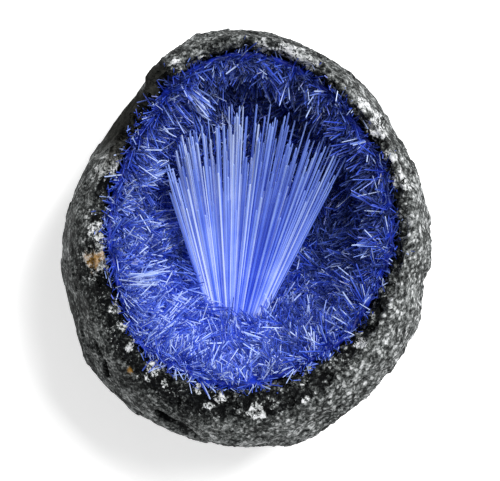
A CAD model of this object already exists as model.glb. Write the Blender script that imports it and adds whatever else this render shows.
import bpy
import bmesh
import math
import numpy as np
from functools import partial
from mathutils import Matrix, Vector


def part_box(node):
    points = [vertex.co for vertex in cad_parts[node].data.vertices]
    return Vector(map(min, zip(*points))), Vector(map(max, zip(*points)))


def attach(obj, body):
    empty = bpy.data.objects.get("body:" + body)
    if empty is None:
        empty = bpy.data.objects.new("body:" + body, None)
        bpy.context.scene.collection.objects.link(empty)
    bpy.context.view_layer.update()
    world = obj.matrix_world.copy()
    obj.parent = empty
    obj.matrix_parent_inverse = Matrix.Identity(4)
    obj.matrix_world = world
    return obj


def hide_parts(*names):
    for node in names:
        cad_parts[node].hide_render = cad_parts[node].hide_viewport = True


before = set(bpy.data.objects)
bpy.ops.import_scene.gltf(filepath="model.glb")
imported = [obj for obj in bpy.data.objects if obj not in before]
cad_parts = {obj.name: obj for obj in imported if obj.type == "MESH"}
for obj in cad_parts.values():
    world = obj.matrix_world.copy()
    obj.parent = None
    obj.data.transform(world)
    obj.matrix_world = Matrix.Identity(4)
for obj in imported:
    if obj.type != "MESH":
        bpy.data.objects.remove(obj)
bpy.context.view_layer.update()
scene = bpy.context.scene
mm = 0.001
weldDistance = 2e-6   # joins the corners that the faces of a CAD node share
smoothFactor = 0.5
print("frame loaded")


# helpers for node trees, meshes and colours

def addNode(tree, kind, inputs=None, output=0, **settings):
    # adds one node, sets its properties, fills or links its inputs, and gives back one of its outputs;
    # a kind that doesn't name its sort is a shader node, which both sorts of tree can hold, and a second
    # word in it is the node's operation
    kind, *operation = kind.split()
    sort = "" if kind.startswith(("Geometry", "Function")) else "ShaderNode"
    node = tree.nodes.new(sort + kind)
    for name, value in settings.items():
        setattr(node, name, value)
    if operation:
        node.operation = operation[0]
    for key, value in (inputs or {}).items():
        if isinstance(value, bpy.types.NodeSocket):
            tree.links.new(value, node.inputs[key])
        else:
            node.inputs[key].default_value = value
    return node.outputs[output]


def newObject(name, data):
    thing = bpy.data.objects.new(name, data)
    scene.collection.objects.link(thing)
    return thing


def finishedMesh(thing):
    # the mesh of an object as its modifiers leave it
    bpy.context.view_layer.update()
    return bpy.data.meshes.new_from_object(thing.evaluated_get(bpy.context.evaluated_depsgraph_get()))


def linearColour(hexCode):
    # sRGB hex to the linear colour Blender works in
    channels = [int(hexCode[i:i + 2], 16) / 255 for i in (1, 3, 5)]
    linear = [c / 12.92 if c <= 0.04045 else ((c + 0.055) / 1.055) ** 2.4 for c in channels]
    return (*linear, 1.0)


def setSteps(ramp, steps):
    # fills a colour ramp, given by its output, from a list of (place, hex colour)
    elements = ramp.node.color_ramp.elements
    while len(elements) < len(steps):
        elements.new(0.5)
    for element, (place, hexCode) in zip(elements, steps):
        element.position = place
        element.color = linearColour(hexCode)


def newMaterial(name):
    # a material, its tree, the inputs of its shader, and the function that adds its nodes
    material = bpy.data.materials.new(name)
    material.use_nodes = True
    tree = material.node_tree
    return material, tree, tree.nodes["Principled BSDF"].inputs, partial(addNode, tree)


def newTree(name, **sockets):
    # a geometry node group, its inputs and outputs, and the function that adds its nodes; the names of the
    # inputs are given by kind, and the geometry comes first
    tree = bpy.data.node_groups.new(name, "GeometryNodeTree")
    tree.interface.new_socket("Geometry", in_out="INPUT", socket_type="NodeSocketGeometry")
    tree.interface.new_socket("Geometry", in_out="OUTPUT", socket_type="NodeSocketGeometry")
    for kind, names in sockets.items():
        for socketName in names.split():
            tree.interface.new_socket(socketName, in_out="INPUT", socket_type="NodeSocket" + kind)
    given, result = tree.nodes.new("NodeGroupInput").outputs, tree.nodes.new("NodeGroupOutput").inputs
    return tree, given, result, partial(addNode, tree)


def grown(base, tree, values, name):
    # runs a tree on a copy of the base and returns the result as a plain mesh object
    carrier = newObject("carrier", base.data.copy())
    modifier = carrier.modifiers.new("growth", "NODES")
    modifier.node_group = tree
    for item in tree.interface.items_tree:
        if item.item_type == "SOCKET" and item.in_out == "INPUT" and item.name in values:
            modifier[item.identifier] = values[item.name]
    mesh = finishedMesh(carrier)
    carrier.modifiers.remove(modifier)
    bpy.data.objects.remove(carrier)
    mesh.name = name
    print(name, len(mesh.polygons), "faces")
    return newObject(name, mesh)


def remeshedCopy(node, name, voxel, smoothing):
    # a fine, even skin over a CAD node
    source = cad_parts[node]
    mesh = source.data.copy()
    merged = bmesh.new()
    merged.from_mesh(mesh)
    bmesh.ops.remove_doubles(merged, verts=merged.verts, dist=weldDistance)
    merged.to_mesh(mesh)
    merged.free()
    mesh.materials.clear()
    shell = newObject(name, mesh)
    remesh = shell.modifiers.new("even skin", "REMESH")
    remesh.mode = "VOXEL"
    remesh.voxel_size = voxel
    smooth = shell.modifiers.new("softened", "SMOOTH")
    smooth.factor = smoothFactor
    smooth.iterations = smoothing
    shell.data = finishedMesh(shell)
    shell.modifiers.clear()
    shell.data.name = name
    return shell


def pointsOf(mesh, normals=False):
    # an array of the places of a mesh's points, or of their normals
    values = np.empty(len(mesh.vertices) * 3, np.float32)
    source, key = (mesh.vertex_normals, "vector") if normals else (mesh.vertices, "co")
    source.foreach_get(key, values)
    return values.reshape(-1, 3)


def storePoints(mesh, name, values):
    attribute = mesh.attributes.get(name) or mesh.attributes.new(name, "FLOAT", "POINT")
    attribute.data.foreach_set("value", np.asarray(values, np.float32))


def keepInBox(mesh):
    # nothing reaches past the stone as the solid has it
    low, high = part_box("stone")
    inside = np.clip(pointsOf(mesh), np.array(low), np.array(high))
    mesh.vertices.foreach_set("co", inside.ravel())


def smoothStep(low, high, values):
    # from 0 at low to 1 at high, and the other way round where low is the larger
    t = np.clip((values - low) / (high - low), 0, 1)
    return t * t * (3 - 2 * t)


# the mouth of the hollow, as the solid has it

mouth = {
    # bearing in degrees, radius of the skin's broken edge, radius of the mouth, height of the rim, in mm
    "rows": [
        (0, 36.2, 33.0, 46.5), (22.5, 37.0, 34.4, 45.5), (45, 38.6, 35.6, 46.2),
        (67.5, 41.8, 39.2, 47.6), (90, 44.4, 41.6, 48.6), (112.5, 42.4, 39.2, 49.4),
        (135, 36.6, 34.4, 46.0), (157.5, 35.0, 32.2, 45.2), (180, 34.8, 31.6, 46.6),
        (202.5, 35.2, 31.4, 47.4), (225, 38.0, 34.0, 46.8), (247.5, 40.2, 33.8, 46.4),
        (270, 40.4, 33.4, 47.8), (292.5, 38.8, 31.4, 48.2), (315, 36.4, 31.8, 47.0),
        (337.5, 35.2, 31.3, 46.2),
    ],
    # how much wider the black band on the rim is, by bearing, as a share of the broken rim's width
    "bandWider": [
        (0, -0.28), (45, -0.34), (75, -0.42), (100, -0.5), (116, -0.1), (150, 0.15), (222, 0.34), (270, 0.25),
        (300, 0.12), (318, -0.1), (345, -0.22), (360, -0.28),
    ],
    # the broken rim blends into the skin this far past its edge, and ends this far below the rim
    "edgeBlend": 0.8 * mm, "rimDepth": (7 * mm, 4 * mm),
}


def mouthValue(angles, column):
    rows = np.array(mouth["rows"])
    bearings = np.append(rows[:, 0], 360.0)
    values = np.append(rows[:, column], rows[0, column])
    return np.interp(np.degrees(angles) % 360, bearings, values) * mm


def rimNearness(points):
    # 1 at the mouth of the hollow, 0 a little outside the skin's broken edge
    angles = np.arctan2(points[:, 1], points[:, 0])
    radius = np.hypot(points[:, 0], points[:, 1])
    edge, lip = mouthValue(angles, 1), mouthValue(angles, 2)
    outside = (radius - lip) / (edge - lip + mouth["edgeBlend"])
    below = mouthValue(angles, 3) - points[:, 2]
    wider = np.interp(np.degrees(angles) % 360, *np.array(mouth["bandWider"]).T)
    return np.clip((1 - outside + wider) * smoothStep(*mouth["rimDepth"], below), 0, 1)


# the stone

stoneForm = {
    "voxel": 0.64 * mm, "smoothing": 2,
    "lumpSize": 9 * mm, "lumpHeight": 0.9 * mm,
    "blockSize": 5.5 * mm, "blockHeight": 0.45 * mm,
    "rimBlockSize": 2.4 * mm, "rimBlockHeight": 1.7 * mm, "rimBlockBend": 3.0 * mm,
    "grainSize": 1.5 * mm, "grainHeight": 1.3 * mm,
    "carvedDepth": 2.1 * mm, "faceDepth": 1.3 * mm,
    "flankSmoothing": 40, "flankLevels": 8,
    # the outside turns from broken to worn between these heights and these radii
    "flankHeights": (44 * mm, 38 * mm), "flankRadii": (30 * mm, 34 * mm),
    # where on rimNearness the rim's blocks start and are full
    "broken": (0.15, 0.5),
    # how much of the lumps and blocks the dark face loses, and the grain that the plainest skin keeps
    "faceSmoother": 0.8, "leastGrain": 0.25,
    # noise and cells are lowered so that the relief goes mostly inwards; how much a block tilts
    "noiseDrop": 0.6, "blockDrop": 0.75, "blockTilt": 1.4, "bendScale": 330.0,
}

stoneRegions = {
    # in mm and degrees; a pair says where something starts and where it is full
    # coarse and pale: towards the lower right, some at the top, and one block next to the dark face
    "paleWay": (0.84, -0.54), "paleSide": (-24, 44), "paleTop": (32, 42), "topPaleness": 0.45,
    "block": (-12.5, 39), "blockReach": (5, 2.5), "blockPaleness": 0.9,
    # the smooth dark face at the upper left: its bearings at the rim and how they shift for each mm further
    # down, the waves of its ragged edge as length, swing and shift, and the heights at which it fades
    "faceTop": 44, "faceDepth": 30, "faceBearings": (114.5, 152), "faceSlants": (0.6, -0.4),
    "faceWaves": [(1.7, 1.6, 0), (4.1, 2.2, 1)], "wavesFrom": (2, 10), "faceFade": (15, 31),
    "splitOff": (37, 43),
    # how soft its edges are in degrees, how much softer the first gets for each mm, and the fade's waves
    "faceEdges": (1.5, 6), "faceSofter": 0.25, "fadeWaves": (2, 14),
    # heights that grooves and spots are above, and a groove's width at its ends as a share of the middle
    "grooveHeights": (20, 26), "spotHeight": 40, "grooveEnds": 0.35,
}

# split-off grooves and a pit: start and end seen from above, half width at the middle, in mm
grooves = [
    ((-20.6, -38.6), (-11.4, -44.6), 1.35), ((-34.0, -22.4), (-31.2, -30.6), 0.65),
    ((20.4, -37.9), (21.6, -38.5), 0.9),
]

# pale feldspar on the broken rim, and rusty stains: x, y and reach in mm
paleSpots = [
    (9.8, 40.6, 5.4), (13.4, 38.6, 3.4), (3.5, 41.5, 2.4), (-9.6, 38.4, 1.8), (-15.8, 38.6, 1.4),
    (28.8, 24.6, 4.0), (25.6, 29.6, 2.2), (31.8, 18.0, 2.2), (33.8, 12.8, 3.0), (-29.2, 20.8, 5.4),
    (-31.4, 15.6, 3.4), (-32.2, 1.6, 4.2), (-32.6, -4.6, 5.2), (-28.5, -15.0, 1.5), (-27.0, -19.5, 1.5),
    (-25.4, -23.4, 1.4), (-20.2, -27.9, 2.2), (-21.5, -30.7, 1.2), (-17.6, -31.2, 1.2), (-10.8, -32.7, 1.4),
    (-5.8, -34.4, 2.0), (-8.8, -36.4, 1.3), (2.2, -38.2, 2.8), (13.0, -35.0, 1.4), (24.8, -22.8, 1.6),
]
rustSpots = [(-33.6, -4.4, 2.9), (-26.2, -29.4, 0.8)]


def spotNearness(points, spots):
    # 1 in the middle of the nearest spot and 0 at its reach, below 0 further off
    farOff = -2.0
    nearness = np.full(len(points), farOff)
    for x, y, reach in spots:
        away = np.hypot(points[:, 0] - x * mm, points[:, 1] - y * mm)
        nearness = np.maximum(nearness, 1 - away / (reach * mm))
    return np.where(points[:, 2] > stoneRegions["spotHeight"] * mm, nearness, farOff)


def grooveDepth(points):
    # 1 along the middle of a groove, 0 outside it
    depth = np.zeros(len(points))
    for start, end, halfWidth in grooves:
        start, end = np.array(start) * mm, np.array(end) * mm
        along = end - start
        share = np.clip((points[:, :2] - start) @ along / (along @ along), 0, 1)
        away = np.linalg.norm(points[:, :2] - start - share[:, None] * along, axis=1)
        narrowest = stoneRegions["grooveEnds"]
        width = halfWidth * mm * (narrowest + (1 - narrowest) * np.sqrt(np.sin(math.pi * share)))
        depth = np.maximum(depth, 1 - (away / width) ** 2)
    return depth * smoothStep(*stoneRegions["grooveHeights"], points[:, 2] / mm)


def stoneMasks(points):
    # values for each point: how pale and coarse, how much dark face, how deep cut, how near to a spot
    x, y, height = points.T / mm
    region = stoneRegions
    toPaleSide = region["paleWay"][0] * x + region["paleWay"][1] * y
    fromBlock = np.hypot(x - region["block"][0], y - region["block"][1])
    paleness = np.maximum.reduce([
        smoothStep(*region["paleSide"], toPaleSide),
        region["blockPaleness"] * smoothStep(*region["blockReach"], fromBlock),
        region["topPaleness"] * smoothStep(*region["paleTop"], y)])
    # the dark face has a crisp edge near the rim, runs to a ragged point below and fades out there
    bearings = np.degrees(np.arctan2(y, x)) % 360
    lowness = np.clip(region["faceTop"] - height, 0, region["faceDepth"])
    ragged = sum(swing * np.sin(height / length + shift) for length, swing, shift in region["faceWaves"])
    (start, end), (startSlant, endSlant) = region["faceBearings"], region["faceSlants"]
    pastStart = bearings - start - startSlant * lowness - ragged * smoothStep(*region["wavesFrom"], lowness)
    pastEnd = bearings - end - endSlant * lowness - ragged
    (startEdge, endEdge), (swing, pace) = region["faceEdges"], region["fadeWaves"]
    darkFace = smoothStep(0, startEdge + region["faceSofter"] * lowness, pastStart)
    darkFace *= smoothStep(endEdge, -endEdge, pastEnd)
    darkFace *= smoothStep(*region["faceFade"], height + swing * np.sin(np.radians(pace * bearings)))
    carved = grooveDepth(points)
    splitOff = darkFace * smoothStep(*region["splitOff"], height)
    cutAway = carved * stoneForm["carvedDepth"] + splitOff * stoneForm["faceDepth"]
    return {"rimNearness": rimNearness(points), "paleness": paleness, "darkFace": darkFace,
            "carved": carved, "cutAway": cutAway, "paleSpot": spotNearness(points, paleSpots),
            "rustSpot": spotNearness(points, rustSpots)}


def softenFlank(shell):
    # the outside below the rim is worn round, and the broken rim stays crisp
    points = pointsOf(shell.data)
    radius = np.hypot(points[:, 0], points[:, 1])
    worn = smoothStep(*stoneForm["flankHeights"], points[:, 2]) * smoothStep(*stoneForm["flankRadii"], radius)
    flank = shell.vertex_groups.new(name="flank")
    levels = stoneForm["flankLevels"]
    for level in range(1, levels + 1):
        chosen = np.flatnonzero(np.ceil(worn * levels) == level)
        flank.add(chosen.tolist(), level / levels, "REPLACE")
    smooth = shell.modifiers.new("worn round", "SMOOTH")
    smooth.factor = smoothFactor
    smooth.iterations = stoneForm["flankSmoothing"]
    smooth.vertex_group = "flank"
    softened = finishedMesh(shell)
    shell.modifiers.clear()
    shell.vertex_groups.clear()
    shell.data = softened


def weatheringTree():
    tree, given, result, add = newTree("weathering", Float=(
        "lumpSize lumpHeight blockSize blockHeight rimBlockSize rimBlockHeight rimBlockBend "
        "grainSize grainHeight"))
    place = add("GeometryNodeInputPosition")
    masks = {name: add("GeometryNodeInputNamedAttribute", {"Name": name}, data_type="FLOAT")
             for name in ("rimNearness", "paleness", "darkFace", "cutAway")}
    start, full = stoneForm["broken"]
    broken = add("MapRange", {"Value": masks["rimNearness"], "From Min": start, "From Max": full},
                 interpolation_type="SMOOTHSTEP")
    smooth = add("Math MULTIPLY_ADD", {0: masks["darkFace"], 1: -stoneForm["faceSmoother"], 2: 1.0})
    coarse = add("Math MAXIMUM", {0: masks["paleness"], 1: broken})
    least = stoneForm["leastGrain"]
    granular = add("Math MULTIPLY_ADD", {0: coarse, 1: 1 - least, 2: least})

    heights = []
    # rounded lumps and fine grain
    for size, height, detail, share in (("lumpSize", "lumpHeight", 3.0, smooth),
                                        ("grainSize", "grainHeight", 2.0, granular)):
        scale = add("Math DIVIDE", {0: 1.0, 1: given[size]})
        noise = add("TexNoise", {"Vector": place, "Scale": scale, "Detail": detail})
        low = add("Math SUBTRACT", {0: noise, 1: stoneForm["noiseDrop"]})
        lump = add("Math MULTIPLY", {0: low, 1: given[height]})
        heights.append((lump, share))
    # every cell is a small plane of its own tilt, so neighbours meet in a crisp edge or a step
    drift = add("TexNoise", {"Vector": place, "Scale": stoneForm["bendScale"], "Detail": 3.0},
                output="Color")
    driftWay = add("VectorMath SCALE", {0: drift, "Scale": given["rimBlockBend"]})
    bent = add("VectorMath ADD", {0: place, 1: driftWay})
    for size, height, at, share in (("blockSize", "blockHeight", place, smooth),
                                    ("rimBlockSize", "rimBlockHeight", bent, broken)):
        scale = add("Math DIVIDE", {0: 1.0, 1: given[size]})
        cells = add("TexVoronoi", {"Vector": at, "Scale": scale}, output="Color")
        fromCentre = add("VectorMath SUBTRACT", {0: at, 1: cells.node.outputs["Position"]})
        inCells = add("VectorMath SCALE", {0: fromCentre, "Scale": scale})
        tilt = add("VectorMath SUBTRACT", {0: cells, 1: (0.5, 0.5, 0.5)})
        slope = add("VectorMath DOT_PRODUCT", {0: inCells, 1: tilt}, output="Value")
        step = add("SeparateXYZ", {0: cells})
        low = add("Math SUBTRACT", {0: step, 1: stoneForm["blockDrop"]})
        both = add("Math MULTIPLY_ADD", {0: slope, 1: stoneForm["blockTilt"], 2: low})
        block = add("Math MULTIPLY", {0: both, 1: given[height]})
        heights.append((block, share))
    total = add("Math MULTIPLY", {0: masks["cutAway"], 1: -1.0})
    for height, share in heights:
        total = add("Math MULTIPLY_ADD", {0: height, 1: share, 2: total})
    relief = add("Math MULTIPLY", {0: total, 1: 1 / mm})
    kept = add("GeometryNodeStoreNamedAttribute", {"Geometry": given["Geometry"], "Name": "relief",
                                                   "Value": relief}, data_type="FLOAT", domain="POINT")
    normal = add("GeometryNodeInputNormal")
    offset = add("VectorMath SCALE", {0: normal, "Scale": total})
    moved = add("GeometryNodeSetPosition", {"Geometry": kept, "Offset": offset})
    tree.links.new(moved, result[0])
    return tree


def makeStone():
    shell = remeshedCopy("stone", "stoneShell", stoneForm["voxel"], stoneForm["smoothing"])
    softenFlank(shell)
    for name, values in stoneMasks(pointsOf(shell.data)).items():
        storePoints(shell.data, name, values)
    stone = grown(shell, weatheringTree(), stoneForm, "stoneSkin")
    bpy.data.objects.remove(shell)
    keepInBox(stone.data)
    stone.data.shade_smooth()
    return stone


stoneSkin = makeStone()


# shapes of single crystals

def needleShape(name, sides, tipShare):
    # a unit needle along +Z: a closed prism with a blunt point, and its height kept as an attribute
    mesh = bpy.data.meshes.new(name)
    ring = [(math.cos(math.tau * k / sides), math.sin(math.tau * k / sides)) for k in range(sides)]
    points = [(0.5 * x, 0.5 * y, 0) for x, y in ring]
    points += [(0.5 * x, 0.5 * y, 1 - tipShare) for x, y in ring] + [(0, 0, 1)]
    faces = [tuple(reversed(range(sides)))]
    for k in range(sides):
        after = (k + 1) % sides
        faces.append((k, after, sides + after, sides + k))
        faces.append((sides + k, sides + after, 2 * sides))
    mesh.from_pydata(points, [], faces)
    storePoints(mesh, "alongNeedle", [p[2] for p in points])
    return newObject(name, mesh)


# the bed that the crust of short needles grows on

bedForm = {
    "voxel": 1.0 * mm, "smoothing": 8,
    "faceCentre": Vector((0.6, 2.6, 62)) * mm,   # crystals grow on what faces this point
    "facing": (0.1, 0.35),   # none and all of them, by the cosine of the angle to it
    "edgeUp": 0.7 * mm, "edgeDepth": (6 * mm, 2 * mm), "edgeSlope": (0.0, 0.4),
    # how far the top edge is drawn out over the broken rim: bearing in degrees, and mm
    "edgeOut": [
        (0, 1.8), (15, 1.0), (30, 2.5), (60, 2.8), (75, 0.8), (105, 0.4), (120, 2.2), (135, 0.2), (150, 0.2),
        (165, 2.0), (180, 1.2), (195, -0.4), (210, 0.4), (225, 2.0), (240, 1.2), (270, 1.0), (285, 0.2),
        (300, 0.6), (315, 1.8), (330, 2.2), (345, 1.8), (360, 1.8),
    ],
    # how dark a place is: paler this way, by 1 in each span, and on the right dark deep down and pale high up
    "paleWay": (-0.55, -0.84), "paleSpan": 33 * mm,
    "highUp": (-13 * mm, -1 * mm), "rightSide": (-5 * mm, 20 * mm), "rightDarker": 0.85, "rightPaler": 1.8,
    "rightLeans": 0.2,
    # the very edge is darker in the upper half
    "upperHalf": (-20 * mm, 20 * mm), "edgeDarker": 0.8,
    # darker crystals on both sides of the fan and behind its tips: x, y and reach in mm, and how much darker
    "darkRecesses": [
        (-15.5, -3.0, 7.0, 1.6), (19.0, 12.0, 9.0, 1.3), (18.0, 2.0, 8.0, 1.3), (11.0, 29.0, 6.0, 1.2),
    ],
    "recessCore": 0.3,   # the share of the reach that is fully darker
}


def makeBed():
    bed = remeshedCopy("crystal_lining", "liningBed", bedForm["voxel"], bedForm["smoothing"])
    points, normals = pointsOf(bed.data), pointsOf(bed.data, normals=True)
    centre = bedForm["faceCentre"]
    inwards = np.array(centre) - points
    inwards /= np.linalg.norm(inwards, axis=1)[:, None]
    facing = smoothStep(*bedForm["facing"], (inwards * normals).sum(1))
    angles = np.arctan2(points[:, 1] - centre.y, points[:, 0] - centre.x)
    bearings = np.degrees(angles) % 360
    atTop = smoothStep(*bedForm["edgeDepth"], mouthValue(angles, 3) - points[:, 2])
    edgeOut = np.interp(bearings, *np.array(bedForm["edgeOut"]).T) * mm
    outwards = np.column_stack([np.cos(angles), np.sin(angles), np.zeros(len(angles))])
    points += outwards * (atTop * edgeOut)[:, None]
    points[:, 2] += atTop * bedForm["edgeUp"]
    bed.data.vertices.foreach_set("co", points.ravel())
    topEdge = atTop * smoothStep(*bedForm["edgeSlope"], normals[:, 2])
    # palest at the lower left, darkest at the top and the right, and there paler again near the rim
    x, y, height = points.T
    shade = (bedForm["paleWay"][0] * x + bedForm["paleWay"][1] * y) / bedForm["paleSpan"]
    highUp = smoothStep(*bedForm["highUp"], height - mouthValue(angles, 3))
    onRight = smoothStep(*bedForm["rightSide"], x - bedForm["rightLeans"] * y)
    shade += (bedForm["rightPaler"] * highUp - bedForm["rightDarker"]) * onRight
    shade -= bedForm["edgeDarker"] * topEdge * smoothStep(*bedForm["upperHalf"], y)
    for middleX, middleY, reach, darker in bedForm["darkRecesses"]:
        away = np.hypot(x - middleX * mm, y - middleY * mm)
        shade -= darker * smoothStep(reach * mm, bedForm["recessCore"] * reach * mm, away)
    storePoints(bed.data, "shade", shade)
    bed.data.shade_smooth()
    return bed, facing, topEdge, bearings


liningBed, bedFacing, bedTopEdge, bedBearings = makeBed()
print("bed ready")


def setNeedles(add, given, points, way, length, tint, spinSeed, widthSeed):
    # a needle on every point, laid along its way and turned about itself, with its size, tint and material
    angle = add("FunctionNodeRandomValue", {2: 0.0, 3: math.tau, "Seed": spinSeed}, output=1)
    spin = add("CombineXYZ", {"Z": angle})
    spun = add("FunctionNodeEulerToRotation", {0: spin})
    turn = add("FunctionNodeAlignRotationToVector", {"Rotation": spun, "Vector": way}, axis="Z")
    width = add("FunctionNodeRandomValue", {2: given["thinnest"], 3: given["thickest"], "Seed": widthSeed},
                output=1)
    size = add("CombineXYZ", {"X": width, "Y": width, "Z": length})
    shape = add("GeometryNodeObjectInfo", {"Object": given["needle"]}, output="Geometry")
    needles = add("GeometryNodeInstanceOnPoints", {"Points": points, "Instance": shape, "Rotation": turn,
                                                   "Scale": size})
    marked = add("GeometryNodeStoreNamedAttribute", {"Geometry": needles, "Name": "needleTint",
                                                     "Value": tint}, data_type="FLOAT", domain="INSTANCE")
    real = add("GeometryNodeRealizeInstances", {"Geometry": marked})
    return add("GeometryNodeSetMaterial", {"Geometry": real, "Material": given["finish"]})


crustHabit = {
    # powers that make most needles short and most of them dark
    "manyShort": 1.8, "manyDark": 1.6,
    # how far the outlines of the tufts are bent, and how finely
    "tuftBend": 3.5 * mm, "tuftBendScale": 300.0,
}


def crustTree():
    tree, given, result, add = newTree(
        "needleCrust", Object="needle", Material="finish", Int="seed", Vector="lead",
        Float=("density shortest longest thinnest thickest tuftSize tuftLean strayLean standUp sink "
               "darkest palest shading"))
    share = add("GeometryNodeInputNamedAttribute", {"Name": "share"}, data_type="FLOAT")
    density = add("Math MULTIPLY", {0: share, 1: given["density"]})
    spots = add("GeometryNodeDistributePointsOnFaces", {"Mesh": given["Geometry"], "Density": density,
                                                        "Seed": given["seed"]}, output="Points",
                distribute_method="RANDOM")
    normal = spots.node.outputs["Normal"]
    draws = [add("Math ADD", {0: given["seed"], 1: 11.0 + k}) for k in range(5)]

    # needles of one tuft lean the same way, with a stray or two
    place = add("GeometryNodeInputPosition")
    drift = add("TexNoise", {"Vector": place, "Scale": crustHabit["tuftBendScale"]}, output="Color")
    warped = add("VectorMath MULTIPLY_ADD", {0: drift, 1: [crustHabit["tuftBend"]] * 3, 2: place})
    fineness = add("Math DIVIDE", {0: 1.0, 1: given["tuftSize"]})
    tufts = add("TexVoronoi", {"Vector": warped, "Scale": fineness}, output="Color")
    tuftWay = add("VectorMath MULTIPLY_ADD", {0: tufts, 1: (2, 2, 2), 2: (-1, -1, -1)})
    leaning = add("VectorMath SCALE", {0: tuftWay, "Scale": given["tuftLean"]})
    strayWay = add("FunctionNodeRandomValue", {0: (-1, -1, -1), 1: (1, 1, 1), "Seed": draws[0]},
                   data_type="FLOAT_VECTOR")
    straying = add("VectorMath SCALE", {0: strayWay, "Scale": given["strayLean"]})
    led = add("VectorMath ADD", {0: leaning, 1: given["lead"]})
    wild = add("VectorMath ADD", {0: led, 1: straying})
    # what would point into the wall is laid along it instead
    outwards = add("VectorMath DOT_PRODUCT", {0: wild, 1: normal}, output="Value")
    inwards = add("Math MINIMUM", {0: outwards, 1: 0.0})
    lift = add("Math SUBTRACT", {0: given["standUp"], 1: inwards})
    lifted = add("VectorMath SCALE", {0: normal, "Scale": lift})
    way = add("VectorMath ADD", {0: wild, 1: lifted})
    # many short needles and a few long ones
    luck = add("FunctionNodeRandomValue", {"Seed": draws[2]}, output=1)
    rarely = add("Math POWER", {0: luck, 1: crustHabit["manyShort"]})
    length = add("MapRange", {"Value": rarely, "To Min": given["shortest"], "To Max": given["longest"]})
    inset = add("Math MULTIPLY", {0: given["sink"], 1: -1.0})
    insetWay = add("VectorMath SCALE", {0: normal, "Scale": inset})
    sunk = add("GeometryNodeSetPosition", {"Geometry": spots, "Offset": insetWay})

    # a tint for each needle, paler or darker by where it grows, and very pale for a few
    chance = add("FunctionNodeRandomValue", {"Seed": draws[4]}, output=1)
    seldom = add("Math POWER", {0: chance, 1: crustHabit["manyDark"]})
    own = add("MapRange", {"Value": seldom, "To Min": given["darkest"], "To Max": given["palest"]})
    shade = add("GeometryNodeInputNamedAttribute", {"Name": "shade"}, data_type="FLOAT")
    tint = add("Math MULTIPLY_ADD", {0: shade, 1: given["shading"], 2: own})
    tree.links.new(setNeedles(add, given, sunk, way, length, tint, draws[1], draws[3]), result[0])
    return tree


# materials

fineBump = {"Strength": 0.8, "Distance": 0.5 * mm}
rockLook = {
    # size in mm, detail, roughness and weight of each noise pattern
    "patterns": {
        "specks": (0.66, 3.0, 0.70, 1.5), "clots": (2.8, 4.0, 0.74, 1.4), "broad": (12.0, 2.0, 0.5, 0.7),
    },
    # sizes in mm of the single grains and of the pale granules on the coarse side, and cells between veins
    "grain": 0.78, "grainWeight": 0.34, "granule": 1.25, "veinCell": 2.174,
    "veinSwell": 0.5,
    # how far the outlines of grains and veins are bent in mm, how finely, and the detail
    "bends": {"grains": (0.7, 1100.0, 2.0), "veins": (4.5, 420.0, 3.0)},
    # regions with a ragged outline, and how far the clots push it in and out
    "ragged": {"band": ("rimNearness", 1.6), "spot": ("paleSpot", 2.6), "rust": ("rustSpot", 3.0)},
    # where each soft edge starts and where it is full
    "edges": {
        "band": (0.3, 0.5), "spot": (0.1, 0.4), "rust": (0.0, 0.8), "vein": (0.1, 0.01), "deep": (-0.4, -1.8),
        "sharp": (0.06, 0.15), "clustered": (-0.02, 0.1), "pebble": (0.62, 0.22),
    },
    # granules gather where the clots are pale: from and to which clot value, and the least and the most
    "gathering": (-0.12, 0.1, 0.35, 1.3),
    "streakScale": (240.0, 240.0, 1700.0), "streaks": (44 * mm, 36 * mm),
    # how much paler or darker each thing makes the rock
    "weights": {
        "streaking": 0.9, "paleness": 0.08, "pebbly": 0.36, "deep": -0.14, "carved": -0.3, "bandOnly": -0.26,
        "fleck": 0.42, "spot": 0.42, "veinInSpot": -0.5, "veinAnywhere": -0.14,
    },
    # how far the tone is drawn to one level on the pale side and on the dark face
    "calmShare": 0.36, "calmLevel": 0.6, "faceShare": 0.76, "faceLevel": 0.62,
    "range": 0.8, "shine": 0.05, "roughness": (0.55, 0.85), "clotRelief": 1.5,
    "steps": [(0.16, "#070809"), (0.35, "#262828"), (0.49, "#4e5150"), (0.65, "#868989"), (0.8, "#b4b7b7"),
              (1.0, "#e4e5e8")],
    "rust": "#9a7026", "rustShare": 0.8, "brown": "#54452c", "brownShare": 0.7,
}


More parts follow.
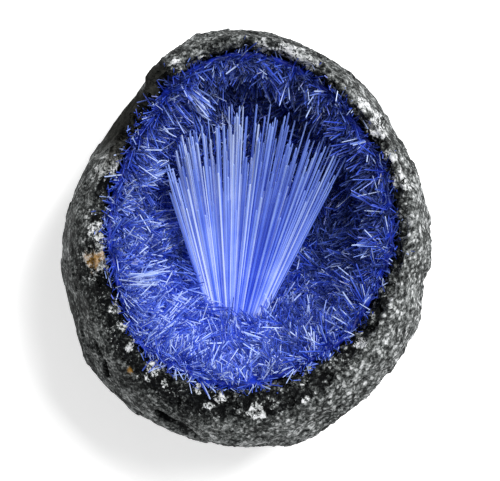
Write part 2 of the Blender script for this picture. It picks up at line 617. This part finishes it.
def rockMaterial():
    # weathered diorite: salt-and-pepper grains, matt, coarse and pale at the lower right, with one smooth
    # brown-black face, a black broken rim and veined white feldspar on it
    material, tree, surface, add = newMaterial("weatheredDiorite")
    look = rockLook
    place = add("TexCoord", output="Object")
    parts = {name: add("Attribute", output="Fac", attribute_name=name)
             for name in ("rimNearness", "paleness", "darkFace", "carved", "paleSpot", "rustSpot", "relief")}

    # patterns and grains, each from about -0.5 to 0.5
    for name, (size, detail, roughness, weight) in look["patterns"].items():
        noise = add("TexNoise", {"Vector": place, "Scale": 1 / (size * mm), "Detail": detail,
                                 "Roughness": roughness})
        parts[name] = add("Math SUBTRACT", {0: noise, 1: 0.5})
    bent = {}
    for name, (bend, scale, detail) in look["bends"].items():
        drift = add("TexNoise", {"Vector": place, "Scale": scale, "Detail": detail}, output="Color")
        bent[name] = add("VectorMath MULTIPLY_ADD", {0: drift, 1: [bend * mm] * 3, 2: place})
    cells = add("TexVoronoi", {"Vector": bent["grains"], "Scale": 1 / (look["grain"] * mm)}, output="Color")
    oneCell = add("SeparateColor", {0: cells})
    grain = add("Math SUBTRACT", {0: oneCell, 1: 0.5})
    fromMiddle = add("TexVoronoi", {"Vector": bent["grains"], "Scale": 1 / (look["granule"] * mm)},
                     output="Distance")
    gap = add("TexVoronoi", {"Vector": bent["veins"], "Scale": 1 / (look["veinCell"] * mm)},
              output="Distance", feature="DISTANCE_TO_EDGE")

    # what each soft edge is measured on; veins swell and fade along their way
    measured = {name: add("Math MULTIPLY_ADD", {0: parts["clots"], 1: push, 2: parts[region]})
                for name, (region, push) in look["ragged"].items()}
    measured["vein"] = add("Math MULTIPLY_ADD", {0: parts["specks"], 1: look["veinSwell"], 2: gap})
    measured.update(deep=parts["relief"], sharp=parts["specks"], clustered=parts["clots"], pebble=fromMiddle)
    for name, (start, full) in look["edges"].items():
        parts[name] = add("MapRange", {"Value": measured[name], "From Min": start, "From Max": full},
                          interpolation_type="SMOOTHSTEP")
    start, full, least, most = look["gathering"]
    parts["gathered"] = add("MapRange", {"Value": parts["clots"], "From Min": start, "From Max": full,
                                         "To Min": least, "To Max": most})
    parts["offSpot"] = add("Math SUBTRACT", {0: 1.0, 1: parts["spot"]})
    # fine streaks run round the stone below the rim
    stretched = add("VectorMath MULTIPLY", {0: place, 1: look["streakScale"]})
    streaked = add("TexNoise", {"Vector": stretched, "Scale": 1.0, "Detail": 3.0})
    parts["streaks"] = add("Math SUBTRACT", {0: streaked, 1: 0.5})
    height = add("SeparateXYZ", {0: place}, output="Z")
    start, full = look["streaks"]
    parts["lowDown"] = add("MapRange", {"Value": height, "From Min": start, "From Max": full})

    # pale flecks come in clusters, on the black band; pale granules lie on the coarse side, with dark gaps
    for name, first, second in (
            ("veinInSpot", "vein", "spot"), ("veinAnywhere", "vein", "paleness"),
            ("inCluster", "sharp", "clustered"), ("fleck", "inCluster", "band"),
            ("bandOnly", "band", "offSpot"), ("granules", "pebble", "gathered"),
            ("pebbly", "granules", "paleness"), ("streaking", "streaks", "lowDown")):
        parts[name] = add("Math MULTIPLY", {0: parts[first], 1: parts[second]})

    level = add("Math MULTIPLY_ADD", {0: grain, 1: look["grainWeight"], 2: 0.5})
    for name, (size, detail, roughness, weight) in look["patterns"].items():
        level = add("Math MULTIPLY_ADD", {0: parts[name], 1: weight, 2: level})
    # less contrast between the grains where the rock is pale
    calm = add("Math MULTIPLY", {0: parts["paleness"], 1: look["calmShare"]})
    level = add("Mix", {0: calm, 2: level, 3: look["calmLevel"]}, data_type="FLOAT")
    for name, weight in look["weights"].items():
        level = add("Math MULTIPLY_ADD", {0: parts[name], 1: weight, 2: level})
    # the dark face is even in tone and has no shine
    evened = add("Math MULTIPLY", {0: parts["darkFace"], 1: look["faceShare"]})
    level = add("Mix", {0: evened, 2: level, 3: look["faceLevel"]}, data_type="FLOAT")
    dull = add("Math MULTIPLY_ADD", {0: parts["darkFace"], 1: -look["shine"], 2: look["shine"]})
    tree.links.new(dull, surface["Specular IOR Level"])
    # only the feldspar spots reach the ramp's palest end
    shrunk = add("Math MULTIPLY", {0: level, 1: look["range"]})
    ramp = add("ValToRGB", {0: shrunk})
    setSteps(ramp, look["steps"])

    brown = add("Math MULTIPLY", {0: parts["darkFace"], 1: look["brownShare"]})
    browned = add("Mix", {0: brown, 6: ramp, 7: linearColour(look["brown"])}, output=2, data_type="RGBA",
                  blend_type="MULTIPLY")
    rust = add("Math MULTIPLY", {0: parts["rust"], 1: look["rustShare"]})
    rusted = add("Mix", {0: rust, 6: browned, 7: linearColour(look["rust"])}, output=2, data_type="RGBA")
    tree.links.new(rusted, surface["Base Color"])
    least, most = look["roughness"]
    roughness = add("MapRange", {"Value": grain, "From Min": -0.5, "From Max": 0.5, "To Min": least,
                                 "To Max": most})
    tree.links.new(roughness, surface["Roughness"])
    surface["IOR"].default_value = 1.5
    relief = add("Math MULTIPLY_ADD", {0: parts["clots"], 1: look["clotRelief"], 2: parts["specks"]})
    bump = add("Bump", {**fineBump, "Height": relief})
    tree.links.new(bump, surface["Normal"])
    return material


def colourAndGlow(tree, add, surface, place, colour, look):
    # light gathers low in the hollow: as strong all over the core, and fading out to the reach
    away = add("VectorMath DISTANCE", {0: place, 1: look["glowCentre"]}, output="Value")
    glow = add("MapRange", {"Value": away, "From Min": crystals["glowCore"], "From Max": look["glowReach"],
                            "To Min": look["glow"], "To Max": look["farGlow"]},
               interpolation_type="SMOOTHSTEP")
    for socket, source in (("Base Color", colour), ("Emission Color", colour), ("Emission Strength", glow)):
        tree.links.new(source, surface[socket])


def crystalMaterial(name, look):
    # azurite needles: glassy blue crystal that carries light along itself, paler where it is thin
    material, tree, surface, add = newMaterial(name)
    tint = add("Attribute", output="Fac", attribute_name="needleTint")
    along = add("Attribute", output="Fac", attribute_name="alongNeedle")
    place = add("TexCoord", output="Object")
    clouds = add("TexNoise", {"Vector": place, "Scale": crystals["cloudScale"]})
    share = crystals["cloudShare"]
    cloudy = add("Math MULTIPLY_ADD", {0: clouds, 1: share, 2: -0.5 * share})
    across = add("SeparateXYZ", {0: place})
    toLeft = add("Math MULTIPLY_ADD", {0: across, 1: -look["leftPaler"] / mm, 2: cloudy})
    mixed = add("Math ADD", {0: tint, 1: toLeft})
    ramp = add("ValToRGB", {0: mixed})
    setSteps(ramp, look["steps"])
    late = add("Math POWER", {0: along, 1: crystals["tipPower"]})
    paler = add("Math MULTIPLY", {0: late, 1: look["tipShare"]})
    colour = add("Mix", {0: paler, 6: ramp, 7: linearColour(look["tip"])}, output=2, data_type="RGBA")
    colourAndGlow(tree, add, surface, place, colour, look)
    surface["Roughness"].default_value = 0.36
    surface["IOR"].default_value = 1.73
    surface["Specular IOR Level"].default_value = 0.25
    return material


# cloudy tints, how late along a needle the paler tip sets in, and the core of the glow
crystals = {"cloudScale": 160.0, "cloudShare": 0.5, "tipPower": 2.0, "glowCore": 8 * mm}
crustLook = {
    "steps": [(0.0, "#0a1858"), (0.3, "#142c9e"), (0.55, "#1f40cc"), (0.78, "#4a69d8"), (0.92, "#8fa9f0"),
              (1.0, "#c4d6ff")],
    "tip": "#8aa6f4", "tipShare": 0.25, "leftPaler": 0.0,
    "glowCentre": (-0.003, -0.017, 0.02), "glowReach": 38 * mm, "glow": 0.2, "farGlow": 0.0,
}
fanLook = {
    "steps": [(0.0, "#2c48c4"), (0.28, "#5674e0"), (0.65, "#8fa6ee"), (1.0, "#ccd8f8")],
    "tip": "#86a0da", "tipShare": 0.5, "leftPaler": 0.016,
    "glowCentre": (-0.012, -0.018, 0.016), "glowReach": 58 * mm, "glow": 0.30, "farGlow": 0.03,
}


bedLook = {
    "noiseScale": 420.0, "steps": [(0.35, "#061046"), (0.5, "#0b1e80"), (0.7, "#1836bc")],
    "glowCentre": crustLook["glowCentre"], "glowReach": 40 * mm, "glow": 0.3, "farGlow": 0.0,
}


def bedMaterial():
    # the massed roots of the needles: deep blue, with a little light carried down to them
    material, tree, surface, add = newMaterial("massiveAzurite")
    place = add("TexCoord", output="Object")
    noise = add("TexNoise", {"Vector": place, "Scale": bedLook["noiseScale"], "Detail": 4.0})
    ramp = add("ValToRGB", {0: noise})
    setSteps(ramp, bedLook["steps"])
    colourAndGlow(tree, add, surface, place, ramp, bedLook)
    bump = add("Bump", {**fineBump, "Height": noise})
    tree.links.new(bump, surface["Normal"])
    surface["Roughness"].default_value = 0.5
    surface["Specular IOR Level"].default_value = 0.2
    return material


stoneSkin.data.materials.append(rockMaterial())
liningBed.data.materials.append(bedMaterial())
crustFinish = crystalMaterial("azuriteNeedles", crustLook)
fanFinish = crystalMaterial("paleAzuriteNeedles", fanLook)
print("materials ready")


# needles on the bed

crustLayers = {
    # a dense, dark underlayer, and a sparser one of long bright needles over it
    "under": {
        "sides": 3, "density": 4.6e6, "shortest": 1.4 * mm, "longest": 4.4 * mm,
        "thinnest": 0.15 * mm, "thickest": 0.28 * mm, "tuftSize": 2.6 * mm, "tuftLean": 1.1, "strayLean": 0.5,
        "standUp": 0.45, "sink": 0.4 * mm, "darkest": 0.0, "palest": 0.86,
        "shading": 0.28, "onEdge": 1.8,
    },
    "over": {
        "sides": 4, "density": 1.5e6, "shortest": 2.6 * mm, "longest": 8.0 * mm,
        "thinnest": 0.19 * mm, "thickest": 0.33 * mm, "tuftSize": 4.0 * mm, "tuftLean": 1.2, "strayLean": 0.4,
        "standUp": 0.5, "sink": 0.6 * mm, "darkest": 0.1, "palest": 1.28,
        "shading": 0.15, "onEdge": 0.0,
    },
}
crustSectors = {
    # from one bearing to the next, in degrees
    "Right": (0, 60), "Top": (60, 125), "Left": (125, 205), "Bottom": (205, 285), "LowerRight": (285, 360),
}

# sheaves of long parallel needles, dense in the core and sparser out to the half width
sheafForm = {
    "sides": 4, "density": 1.1e6, "shortest": 4.0 * mm, "longest": 9.5 * mm,
    "thinnest": 0.24 * mm, "thickest": 0.40 * mm, "tuftSize": 3.0 * mm,
    "standUp": 0.3, "sink": 0.5 * mm, "darkest": 0.74, "palest": 1.25, "shading": 0.2, "core": 0.4,
}
sheaves = [
    # foot in mm, half width in mm, the way the needles lean, how far they stray from it
    ((3.5, 39.0), 3.2, (0.9, -1.4, 0.2), 0.4), ((-13.0, 33.0), 2.4, (1.0, -1.2, 0.3), 0.4),
    ((22.0, 22.0), 2.2, (-0.3, -1.3, 0.3), 0.4), ((15.0, -21.5), 2.6, (1.8, 0.7, 0.3), 0.18),
    ((24.0, -17.0), 1.8, (0.9, 1.3, 0.4), 0.3), ((-26.0, 12.0), 2.8, (1.4, 0.8, 0.3), 0.4),
    ((-26.0, -9.0), 2.4, (1.6, 0.2, 0.2), 0.3), ((29.0, 3.0), 2.0, (-0.5, -1.3, 0.3), 0.4),
]

# splinters that cross the broken rim, from so far out to so far in and from so far below its height
splinterReach = {"across": (1.0 * mm, -0.8 * mm), "below": (6 * mm, 4 * mm)}
splinterForm = {
    "sides": 3, "density": 2.6e6, "shortest": 1.2 * mm, "longest": 3.4 * mm,
    "thinnest": 0.15 * mm, "thickest": 0.28 * mm, "tuftSize": 3.0 * mm, "tuftLean": 0.8, "strayLean": 0.5,
    "standUp": 0.4, "sink": 0.3 * mm, "darkest": 0.15, "palest": 1.2,
    "shading": 0.0,
}

# the first seed of each kind, and the step from one piece to the next
seeds = {"crust": (7, 31), "sheaf": (501, 17), "splinter": (401, 0)}


def lipShare():
    # 1 on the lip of the stone just above the crust, 0 a little way out on the broken rim
    points = pointsOf(stoneSkin.data)
    angles = np.arctan2(points[:, 1], points[:, 0])
    beyond = np.hypot(points[:, 0], points[:, 1]) - mouthValue(angles, 2)
    below = mouthValue(angles, 3) - points[:, 2]
    return smoothStep(*splinterReach["across"], beyond) * smoothStep(*splinterReach["below"], below)


def growCrystals(base, share, form, kind, index, name):
    # share is how much of the full density each point of the base carries
    storePoints(base.data, "share", share)
    first, step = seeds[kind]
    values = dict(form, seed=first + step * index, needle=prisms[form["sides"]], finish=crustFinish)
    return grown(base, needleCrust, values, name)


bluntTip = 0.05   # share of a short needle's length
prisms = {3: needleShape("slimPrism", 3, bluntTip), 4: needleShape("squarePrism", 4, bluntTip)}
needleCrust = crustTree()
crystalPieces = []
for layer, form in crustLayers.items():
    for index, (side, (start, end)) in enumerate(crustSectors.items()):
        # the underlayer goes on over the top edge, and is thicker there
        everywhere = np.maximum(bedFacing, form["onEdge"] * bedTopEdge)
        share = everywhere * ((bedBearings >= start) & (bedBearings < end))
        crystalPieces.append(growCrystals(liningBed, share, form, "crust", index, layer + "Crust" + side))
bedPoints = pointsOf(liningBed.data)
for index, (foot, halfWidth, lead, stray) in enumerate(sheaves):
    away = np.hypot(bedPoints[:, 0] - foot[0] * mm, bedPoints[:, 1] - foot[1] * mm)
    share = bedFacing * smoothStep(halfWidth * mm, sheafForm["core"] * halfWidth * mm, away)
    form = dict(sheafForm, lead=lead, tuftLean=stray, strayLean=stray)
    crystalPieces.append(growCrystals(liningBed, share, form, "sheaf", index, f"sheaf{index + 1}"))
crystalPieces.append(growCrystals(stoneSkin, lipShare(), splinterForm, "splinter", 0, "rimSplinters"))
for carrier in (liningBed, stoneSkin):
    carrier.data.attributes.remove(carrier.data.attributes["share"])
for piece in crystalPieces:
    keepInBox(piece.data)


# the fan

fanForm = {
    "count": 430, "seed": 5, "spread": math.radians(19.2), "depth": math.radians(5.0), "scatter": 0.016,
    "startsAt": 14 * mm, "middleReach": 71.5 * mm, "leftReach": 58.5 * mm, "rightReach": 66 * mm,
    "thinnest": 0.26 * mm, "thickest": 0.50 * mm, "sides": 6, "tipShare": 0.008,
    # how many places a needle may lie away from its own, and how much and how late the right is thinned
    "jog": 4.0, "thinning": 0.14, "thinningPower": 5.0,
    "fullness": 1.02,   # over 1, so that the sides keep some depth
    # how late the reach falls towards the sides, how many tips are cut short, and by how much at most
    "reachPower": 2.2, "cutPower": 1.2, "deepestCut": 0.34,
}
fanPlace = {
    "focus": Vector((-4.2, -34.3, 5.3)) * mm, "rise": math.radians(28), "bearing": math.radians(84.6),
}


def fanTree():
    tree, given, result, add = newTree(
        "needleFan", Object="needle", Material="finish", Int="count seed", Vector="focus axis across front",
        Float="spread depth scatter startsAt middleReach leftReach rightReach thinnest thickest")
    draws = [add("Math ADD", {0: given["seed"], 1: 1.0 + k}) for k in range(7)]
    index = add("GeometryNodeInputIndex")

    # across from -1 to 1 with gaps and clumps, and sparser towards the right
    jog = add("FunctionNodeRandomValue", {2: -fanForm["jog"], 3: fanForm["jog"], "Seed": draws[0]},
              output=1)
    shifted = add("Math ADD", {0: index, 1: jog})
    evenly = add("MapRange", {"Value": shifted, "From Max": given["count"]})
    lateRise = add("Math POWER", {0: evenly, 1: fanForm["thinningPower"]})
    thinned = add("Mix", {0: fanForm["thinning"], 2: evenly, 3: lateRise}, data_type="FLOAT")
    side = add("Math MULTIPLY_ADD", {0: thinned, 1: 2.0, 2: -1.0})
    square = add("Math MULTIPLY", {0: side, 1: side})
    rest = add("Math SUBTRACT", {0: fanForm["fullness"], 1: square})
    halfDepth = add("Math SQRT", {0: rest})
    anyDepth = add("FunctionNodeRandomValue", {2: -1.0, 3: 1.0, "Seed": draws[1]}, output=1)
    forward = add("Math MULTIPLY", {0: anyDepth, 1: halfDepth})
    aim = given["axis"]
    for amount, most, direction in ((side, "spread", "across"), (forward, "depth", "front")):
        angle = add("Math MULTIPLY", {0: amount, 1: given[most]})
        slope = add("Math TANGENT", {0: angle})
        aside = add("VectorMath SCALE", {0: given[direction], "Scale": slope})
        aim = add("VectorMath ADD", {0: aim, 1: aside})
    way = add("VectorMath NORMALIZE", {0: aim})

    # longest in the middle, and every tip at a height of its own
    offSide = add("Math ABSOLUTE", {0: side})
    falling = add("Math POWER", {0: offSide, 1: fanForm["reachPower"]})
    atSide = add("MapRange", {"Value": side, "From Min": -1.0, "To Min": given["leftReach"],
                              "To Max": given["rightReach"]})
    fullReach = add("MapRange", {"Value": falling, "To Min": given["middleReach"], "To Max": atSide})
    luck = add("FunctionNodeRandomValue", {"Seed": draws[2]}, output=1)
    rarely = add("Math POWER", {0: luck, 1: fanForm["cutPower"]})
    cut = add("Math MULTIPLY_ADD", {0: rarely, 1: -fanForm["deepestCut"], 2: 1.0})
    reach = add("Math MULTIPLY", {0: fullReach, 1: cut})
    length = add("Math SUBTRACT", {0: reach, 1: given["startsAt"]})
    away = add("VectorMath SCALE", {0: way, "Scale": given["startsAt"]})
    start = add("VectorMath ADD", {0: given["focus"], 1: away})
    spots = add("GeometryNodePoints", {"Count": given["count"], "Position": start})

    anyWay = add("FunctionNodeRandomValue", {0: (-1, -1, -1), 1: (1, 1, 1), "Seed": draws[3]},
                 data_type="FLOAT_VECTOR")
    strayed = add("VectorMath SCALE", {0: anyWay, "Scale": given["scatter"]})
    aimed = add("VectorMath ADD", {0: way, 1: strayed})
    tint = add("FunctionNodeRandomValue", {"Seed": draws[6]}, output=1)
    tree.links.new(setNeedles(add, given, spots, aimed, length, tint, draws[4], draws[5]), result[0])
    return tree


def makeFan():
    rise, bearing = fanPlace["rise"], fanPlace["bearing"]
    axis = Vector((math.cos(rise) * math.cos(bearing), math.cos(rise) * math.sin(bearing), math.sin(rise)))
    across = axis.cross(Vector((0, 0, 1))).normalized()
    longPrism = needleShape("longPrism", fanForm["sides"], fanForm["tipShare"])
    values = dict(fanForm, needle=longPrism, finish=fanFinish, focus=tuple(fanPlace["focus"]),
                  axis=tuple(axis), across=tuple(across), front=tuple(across.cross(axis)))
    seedMesh = bpy.data.objects.new("fanSeed", bpy.data.meshes.new("fanSeed"))
    fan = grown(seedMesh, fanTree(), values, "needleSpray")
    bpy.data.objects.remove(seedMesh)
    bpy.data.objects.remove(longPrism)
    return fan


needleSpray = makeFan()
for prism in prisms.values():
    bpy.data.objects.remove(prism)


# riding on the frame

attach(stoneSkin, "root")
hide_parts("stone")
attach(liningBed, "root")
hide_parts("crystal_lining")
for piece in crystalPieces:
    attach(piece, "root")
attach(needleSpray, "root")
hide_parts("needle_fan")


# floor, light and camera

studio = {
    "floorSize": 3.0, "floorColour": "#ffffff", "floorGlow": 0.46,
    "camera": (0.00069, -0.000345, 0.504), "lens": 150.0,
    "keyPlace": (0.32, 0.27, 0.72), "keySize": 0.3, "keyPower": 7.8,
    "fillPlace": (-0.5, -0.5, 0.7), "fillSize": 0.8, "fillPower": 0.8,
    "lampsAim": Vector((0, 0, 0.03)), "skyStrength": 0.32, "sensor": 36.0, "seesFrom": 0.01,
}


def makeStudio():
    mesh = bpy.data.meshes.new("floor")
    half = studio["floorSize"] / 2
    corners = [(-half, -half, 0), (half, -half, 0), (half, half, 0), (-half, half, 0)]
    mesh.from_pydata(corners, [], [(0, 1, 2, 3)])
    floor = newObject("floor", mesh)
    # matt white paper, with a little light of its own so that it comes out near white
    paper, _, surface, _ = newMaterial("matteWhitePaper")
    for socket in ("Base Color", "Emission Color"):
        surface[socket].default_value = linearColour(studio["floorColour"])
    surface["Roughness"].default_value = 0.9
    surface["Emission Strength"].default_value = studio["floorGlow"]
    mesh.materials.append(paper)
    for name in ("key", "fill"):
        light = bpy.data.lights.new(name, "AREA")
        light.size = studio[name + "Size"]
        light.energy = studio[name + "Power"]
        lamp = newObject(name, light)
        lamp.location = studio[name + "Place"]
        lamp.rotation_euler = (studio["lampsAim"] - lamp.location).to_track_quat("-Z", "Y").to_euler()
    sky = bpy.data.worlds.new("studioSky")
    sky.use_nodes = True
    light = sky.node_tree.nodes["Background"].inputs
    light["Color"].default_value = (1, 1, 1, 1)
    light["Strength"].default_value = studio["skyStrength"]
    scene.world = sky
    lens = bpy.data.cameras.new("camera")
    lens.lens = studio["lens"]
    lens.sensor_width = studio["sensor"]
    lens.clip_start = studio["seesFrom"]
    camera = newObject("camera", lens)
    camera.location = studio["camera"]
    scene.camera = camera
    scene.view_settings.view_transform = "Standard"


makeStudio()
print("studio ready")
